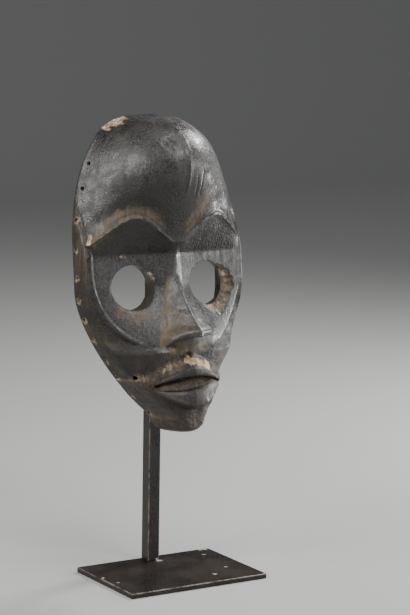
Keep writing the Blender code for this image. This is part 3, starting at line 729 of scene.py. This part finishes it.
# bare wood, at chips, at the broken eye edge and round the drilled holes
bare = strokes(x, z, BARE_STROKES) + 0.45 * mark(x, z, 2.0, crest_line[2:], 0.5)
streaks = 0.5 + 0.9 * lumps(np.arctan2(z - EYE_Z, x - EYE_X) * 16.0, from_eye * 0.2, 1.0, 33)
streaks = 0.85 * np.clip(streaks, 0.12, 0.85) * ease(10.0, 6.0, from_eye)
bare = bare + np.clip(lost * 2.2, 0.0, 1.0) * streaks
bare = bare + eye_wall * ease(0.0, 0.4, lost_side) * (x > 0.0) * 0.5
for hole in RIM_HOLES:
    rim = float(half_width(np.array(float(hole))))
    apart = np.sqrt((z - hole + 0.9) ** 2 + (depth - 5.6) ** 2 + 0.3 * (a - rim) ** 2)
    apart = apart + 1.4 * lumps(depth, z, 1.4, 34 + hole % 7)
    bare = bare + (0.3 + 0.35 * (hole < 60)) * ease(3.6, 2.0, apart)
apart = np.hypot(a - 36.0, z + 67.0)
bare = bare + 0.45 * ease(4.5, 2.4, apart + 1.0 * lumps(x, z, 1.5, 41)) * left
bare = bare * (1.0 - inner)

# darker and duller: dirt on the jaw, a darker right forehead, and painted shade under the brows, the nose
# and the lower lip, beside the left cheek, in the eye holes and the hollow behind, in the hollow above the
# nose root and in the gap between the forehead's two sheens
# painted shade over the hollow above the left brow and down to the nose root
dark = 0.85 * mark(x, z, 17.0, SHADED_FOREHEAD_HOLLOW, 0.25, 0.3)
# painted shade for the dark gap between the two sheens on the left of the forehead
dark = dark + 0.5 * mark(x, z, 6.0, SHEEN_GAP_LEFT, 0.3, 0.0)
# darker on the right of the forehead
dark = dark + 1.1 * mark(x, z, 15.0, DARKER_RIGHT_FOREHEAD, 0.4, 0.2)
# painted shade on the sockets under the brow overhangs, less of it on the left
shade_under_brow = ease(1.0, -2.5, brow) * ease(CREASE - 1.0, CREASE + 2.0, z) * ease(66.0, 62.0, a)
dark = dark + (0.95 - 0.55 * left) * shade_under_brow
# painted shadow outside the raised border of the left cheek
dark = dark + 0.9 * ease(0.0, 1.2, border) * ease(12.0, 5.0, border) * ease(16.0, -4.0, z) * left
grimy_jaw = ease(-0.5, 2.0, border) * ease(8.0, -12.0, z) * (0.75 + 0.35 * lumps(x, z, 5.0, 35))
dark = dark + 1.2 * grimy_jaw * (1.0 - lips) * (1.0 - 0.9 * chin_rub_and_sheen)
# painted shadow under the lower lip's edge
dark = dark + 0.8 * np.exp(-((z - lower_bottom) / 1.6) ** 2) * off_lips
# painted shadow under the base of the nose
dark = dark + 0.8 * np.exp(-((z - nose_base(x) + 0.8) / 1.2) ** 2) * ease(21.0, 16.0, a)
# painted shade on the walls of the eye holes and, faintly, inside the hollow
dark = dark + 0.8 * eye_wall + 0.35 * inner

# rubbed, where the surface is smooth and grey, and painted sheen and highlights on the forehead dome, the
# brow edges, the chin and the left temple
rubbed_and_sheen = ease(0.5, -3.0, border) * ease(CREASE + 1.0, CREASE - 1.5, z) * ease(-50.0, -40.0, z)
# the forehead dome is lightened as rubbed wood and as a painted sheen
rubbed_and_sheen = np.clip(rubbed_and_sheen + lips + 0.7 * mark(x, z, 30.0, RUBBED_AND_SHEEN_DOME, 0.1, 0.0), 0.0, 1.0)
# a pale line along each brow edge, rubbed and also a painted highlight where the edge catches the light
rubbed_and_sheen = rubbed_and_sheen + 0.8 * np.exp(-((brow + 0.4) / 1.3) ** 2) * ease(69.0, 62.0, a)
rubbed_and_sheen = rubbed_and_sheen + 1.3 * chin_rub_and_sheen + 0.9 * mark(x, z, 5.0, RUBBED_CROWN, 0.3)
# the left temple is lightened as rubbed wood and as a painted sheen
rubbed_and_sheen = rubbed_and_sheen + 0.7 * ease(70.0, 52.0, a) * left * ease(52.0, 66.0, z) * ease(40.0, 58.0, a)

for name, amount in (("brown", brown), ("bare", bare), ("dark", dark), ("rubbed_and_sheen", rubbed_and_sheen)):
    inside_tone = 0.45 * inner if name == "brown" else 0.0
    paint(mask, name, amount * (1.0 - 0.9 * inner) + inside_tone)


# Grain or mottling from one stretched noise, put out as a mask between 0 and 1
def mottling_group():
    group = bpy.data.node_groups.new("mottling", "ShaderNodeTree")
    named_inputs = (
        ("Vector", "NodeSocketVector", None),
        ("Scale", "NodeSocketFloat", 100.0),
        ("Detail", "NodeSocketFloat", 3.0),
        ("Low", "NodeSocketFloat", 0.4),
        ("High", "NodeSocketFloat", 0.6),
        ("Stretch", "NodeSocketVector", (1.0, 1.0, 1.0)),
    )
    for label, kind, value in named_inputs:
        socket = group.interface.new_socket(label, in_out="INPUT", socket_type=kind)
        if value is not None:
            socket.default_value = value
    group.interface.new_socket("Mask", in_out="OUTPUT", socket_type="NodeSocketFloat")
    start = group.nodes.new("NodeGroupInput")
    end = group.nodes.new("NodeGroupOutput")
    stretch = group.nodes.new("ShaderNodeVectorMath")
    stretch.operation = "MULTIPLY"
    noise = group.nodes.new("ShaderNodeTexNoise")
    limits = group.nodes.new("ShaderNodeMapRange")
    limits.interpolation_type = "SMOOTHSTEP"
    group.links.new(start.outputs["Vector"], stretch.inputs[0])
    group.links.new(start.outputs["Stretch"], stretch.inputs[1])
    group.links.new(stretch.outputs["Vector"], noise.inputs["Vector"])
    group.links.new(start.outputs["Scale"], noise.inputs["Scale"])
    group.links.new(start.outputs["Detail"], noise.inputs["Detail"])
    group.links.new(noise.outputs["Fac"], limits.inputs["Value"])
    group.links.new(start.outputs["Low"], limits.inputs["From Min"])
    group.links.new(start.outputs["High"], limits.inputs["From Max"])
    group.links.new(limits.outputs["Result"], end.inputs["Mask"])
    return group


mottling = mottling_group()


def new_material(name):
    made = bpy.data.materials.new(name)
    made.use_nodes = True
    return made, made.node_tree, made.node_tree.nodes["Principled BSDF"]


def place_vector(tree):
    return tree.nodes.new("ShaderNodeTexCoord").outputs["Object"]


def mottled(tree, vector, scale, low, high, detail=3.0, stretch=(1.0, 1.0, 1.0)):
    made = tree.nodes.new("ShaderNodeGroup")
    made.node_tree = mottling
    tree.links.new(vector, made.inputs["Vector"])
    settings = {"Scale": scale, "Detail": detail, "Low": low, "High": high, "Stretch": stretch}
    for label, value in settings.items():
        made.inputs[label].default_value = value
    return made.outputs["Mask"]


def reckon(tree, operation, first, second, third=None, limit=False):
    made = tree.nodes.new("ShaderNodeMath")
    made.operation = operation
    made.use_clamp = limit
    for socket, value in zip(made.inputs, (first, second, third)):
        if isinstance(value, bpy.types.NodeSocket):
            tree.links.new(value, socket)
        elif value is not None:
            socket.default_value = value
    return made.outputs["Value"]


def tinted(tree, amount, under, over):
    made = tree.nodes.new("ShaderNodeMix")
    made.data_type = "RGBA"
    for label, value in (("Factor", amount), ("A", under), ("B", over)):
        if isinstance(value, bpy.types.NodeSocket):
            tree.links.new(value, made.inputs[label])
        else:
            made.inputs[label].default_value = value
    return made.outputs["Result"]


def painted(tree, name):
    made = tree.nodes.new("ShaderNodeAttribute")
    made.attribute_name = name
    return made.outputs["Fac"]


def bumped(tree, height, distance, strength=1.0):
    made = tree.nodes.new("ShaderNodeBump")
    made.inputs["Distance"].default_value = distance
    made.inputs["Strength"].default_value = strength
    tree.links.new(height, made.inputs["Height"])
    return made.outputs["Normal"]


SMOKED_DARK = (0.010, 0.0082, 0.0068, 1.0)
SMOKED_LIGHT = (0.026, 0.0222, 0.0185, 1.0)
DUSTED = (0.046, 0.041, 0.036, 1.0)
# the rubbed grey, laid both as real rubbing and as painted sheen and highlights
RUBBED_GREY_AND_SHEEN = (0.062, 0.060, 0.057, 1.0)
THINNED_BROWN = (0.122, 0.083, 0.045, 1.0)
# the dirt colour, laid both as real dirt and as painted shade
DIRT_AND_PAINTED_SHADE = (0.009, 0.0075, 0.0062, 1.0)
BARE_GRAIN = (0.25, 0.150, 0.070, 1.0)
BARE_WOOD = (0.62, 0.50, 0.35, 1.0)

wood, wood_tree, wood_shader = new_material("patinated_wood")
where = place_vector(wood_tree)
is_brown = painted(wood_tree, "brown")
is_bare = painted(wood_tree, "bare")
is_dark = painted(wood_tree, "dark")
is_rubbed_and_sheen = painted(wood_tree, "rubbed_and_sheen")
grain = mottled(wood_tree, where, 420.0, 0.35, 0.65, 4.0, (1.0, 1.0, 0.16))
cloudy = mottled(wood_tree, where, 70.0, 0.36, 0.64, 4.0)
speckle = mottled(wood_tree, where, 620.0, 0.42, 0.62, 3.0)
wax = mottled(wood_tree, where, 30.0, 0.35, 0.65, 2.0)
patchy = mottled(wood_tree, where, 150.0, 0.38, 0.62, 5.0)
pits = mottled(wood_tree, where, 900.0, 0.30, 0.55, 2.0)

# colour, from the smoked ground up to the bare wood
colour = tinted(wood_tree, cloudy, SMOKED_DARK, SMOKED_LIGHT)
colour = tinted(wood_tree, reckon(wood_tree, "MULTIPLY", speckle, 0.5), colour, DUSTED)
for layer, breakup, gain, least, tint in (
    (is_rubbed_and_sheen, speckle, 0.5, 0.4, RUBBED_GREY_AND_SHEEN),
    (is_brown, grain, 0.7, 0.35, THINNED_BROWN),
    (is_dark, speckle, 0.35, 0.5, DIRT_AND_PAINTED_SHADE),
):
    uneven = reckon(wood_tree, "MULTIPLY_ADD", breakup, gain, least)
    colour = tinted(wood_tree, reckon(wood_tree, "MULTIPLY", layer, uneven, limit=True), colour, tint)
uneven = reckon(wood_tree, "ADD", is_bare, reckon(wood_tree, "MULTIPLY_ADD", speckle, 0.5, -0.22))
flaked = reckon(wood_tree, "MULTIPLY", reckon(wood_tree, "MULTIPLY", is_bare, uneven), 1.3, limit=True)
colour = tinted(wood_tree, flaked, colour, tinted(wood_tree, grain, BARE_GRAIN, BARE_WOOD))
wood_tree.links.new(colour, wood_shader.inputs["Base Color"])

# a waxed sheen, duller on the darkened places (dirt and painted shade alike) and on the bare wood
rough = reckon(wood_tree, "MULTIPLY_ADD", is_dark, 0.20, 0.30)
rough = reckon(wood_tree, "MULTIPLY_ADD", is_brown, 0.10, rough)
rough = reckon(wood_tree, "MULTIPLY_ADD", is_bare, 0.25, rough)
rough = reckon(wood_tree, "MULTIPLY_ADD", cloudy, 0.08, rough)
rough = reckon(wood_tree, "MULTIPLY_ADD", patchy, 0.17, rough)
rough = reckon(wood_tree, "MULTIPLY_ADD", wax, -0.06, rough, limit=True)
wood_tree.links.new(rough, wood_shader.inputs["Roughness"])

# open grain and pits, and a crust on the darkened places, dirt and painted shade alike
fine = reckon(wood_tree, "MULTIPLY_ADD", grain, 0.6, reckon(wood_tree, "MULTIPLY", pits, 0.25))
crust = reckon(wood_tree, "MULTIPLY", reckon(wood_tree, "MULTIPLY_ADD", is_dark, 1.6, 0.5), speckle)
height = reckon(wood_tree, "ADD", fine, crust)
wood_tree.links.new(bumped(wood_tree, height, 0.00010), wood_shader.inputs["Normal"])
mask.data.materials.clear()
mask.data.materials.append(wood)
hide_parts("mask")
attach(mask, "root")


# Foot plate, post and stay
# Mild steel, cut, welded and coated in a dark bronze paint. They keep their own solids and take a satin
# finish that is lighter on the edges, as rubbed paint and as a painted highlight, chipped at a few corners
# and bare at the weld.
PAINT_DUST = (0.050, 0.044, 0.039, 1.0)
BARE_METAL = (0.44, 0.41, 0.37, 1.0)
# the two edge colours stand for rubbed paint and for a painted highlight along the edges of the foot and
# the post
FOOT_EDGE_WEAR_AND_HIGHLIGHT = (0.25, 0.22, 0.19, 1.0)
FOOT_DARK = (0.0125, 0.0100, 0.0085, 1.0)
FOOT_LIGHT = (0.0270, 0.0195, 0.0150, 1.0)
POST_EDGE_WEAR_AND_HIGHLIGHT = (0.230, 0.150, 0.100, 1.0)
POST_DARK = (0.0160, 0.0155, 0.0155, 1.0)
POST_LIGHT = (0.0270, 0.0260, 0.0260, 1.0)
FOOT_EDGE_WIDTH = 0.0007
POST_EDGE_WIDTH = 0.0008
WELD_CHIP = 0.0012

# chips on the foot's top, each by its place across and along and its radius, in metres
FOOT_CHIPS = (
    (0.0557, 0.0412, 0.0024),
    (0.0515, 0.0405, 0.0017),
    (0.0465, 0.0272, 0.0014),
    (0.0239, -0.0253, 0.0019),
    (0.0425, -0.0117, 0.0013),
    (-0.0536, -0.0101, 0.0012),
    (-0.0575, 0.0062, 0.0012),
    (0.0059, 0.0290, 0.0024),
)


def along_edges(tree, split, first, second, width):
    # a mask that is 1 along the edges where two pairs of faces meet, each given as axis and places
    both = None
    for axis, places in (first, second):
        close = None
        for place in places:
            here = reckon(tree, "COMPARE", split.outputs[axis], place, width)
            close = here if close is None else reckon(tree, "MAXIMUM", close, here)
        both = close if both is None else reckon(tree, "MULTIPLY", both, close)
    return both


def chip(tree, vector, place, radius):
    # a small ragged spot round a place given in metres
    apart = tree.nodes.new("ShaderNodeVectorMath")
    apart.operation = "DISTANCE"
    tree.links.new(vector, apart.inputs[0])
    apart.inputs[1].default_value = place
    uneven = mottled(tree, vector, 900.0, 0.3, 0.7, 2.0)
    ragged = reckon(tree, "MULTIPLY_ADD", uneven, radius, apart.outputs["Value"])
    return reckon(tree, "LESS_THAN", ragged, radius * 1.4)


def bronze_paint(name, edges, edge_colour, chips, dark_tint, light_tint):
    made, tree, shader = new_material(name)
    spot = place_vector(tree)
    cloud = mottled(tree, spot, 38.0, 0.36, 0.66, 5.0)
    dust = mottled(tree, spot, 700.0, 0.50, 0.72, 2.0)
    shade = tinted(tree, cloud, dark_tint, light_tint)
    shade = tinted(tree, reckon(tree, "MULTIPLY", dust, 0.2), shade, PAINT_DUST)
    edge_breakup = mottled(tree, spot, 160.0, 0.30, 0.60, 4.0)
    split = tree.nodes.new("ShaderNodeSeparateXYZ")
    tree.links.new(spot, split.inputs["Vector"])
    # edges lightened as rubbed paint and as a painted highlight
    for first, second, width in edges:
        edge_wear_and_highlight = reckon(tree, "MULTIPLY", along_edges(tree, split, first, second, width), edge_breakup)
        shade = tinted(tree, reckon(tree, "MULTIPLY", edge_wear_and_highlight, 0.85), shade, edge_colour)
    for place, radius in chips:
        shade = tinted(tree, chip(tree, spot, place, radius), shade, BARE_METAL)
    tree.links.new(shade, shader.inputs["Base Color"])
    gloss = reckon(tree, "MULTIPLY_ADD", cloud, 0.12, 0.25)
    gloss = reckon(tree, "MULTIPLY_ADD", dust, 0.12, gloss)
    tree.links.new(gloss, shader.inputs["Roughness"])
    shader.inputs["Specular IOR Level"].default_value = 0.32
    tree.links.new(bumped(tree, reckon(tree, "ADD", cloud, dust), 0.00012), shader.inputs["Normal"])
    return made


def span(name, axis):
    ends = [vert.co[axis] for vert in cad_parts[name].data.vertices]
    return min(ends), max(ends)


foot_top = span("base_plate", 2)[1]
foot_edges = (
    ((0, span("base_plate", 0)), (2, (foot_top,)), FOOT_EDGE_WIDTH),
    ((1, span("base_plate", 1)), (2, (foot_top,)), FOOT_EDGE_WIDTH),
)
foot_chips = [((across, along, foot_top), radius) for across, along, radius in FOOT_CHIPS]
foot_paint = bronze_paint("bronze_paint_on_the_foot", foot_edges, FOOT_EDGE_WEAR_AND_HIGHLIGHT, foot_chips,
                          FOOT_DARK, FOOT_LIGHT)

post_sides, post_faces = span("post", 0), span("post", 1)
post_edges = (((0, post_sides), (1, post_faces), POST_EDGE_WIDTH),)
post_chips = (((post_sides[1] - 0.002, post_faces[0], foot_top + 0.0006), WELD_CHIP),)
post_paint = bronze_paint("bronze_paint_on_the_post", post_edges, POST_EDGE_WEAR_AND_HIGHLIGHT, post_chips,
                          POST_DARK, POST_LIGHT)

for name, paint_of_it in (("base_plate", foot_paint), ("post", post_paint), ("chin_stay", post_paint)):
    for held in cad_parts[name].material_slots:
        held.material = paint_of_it
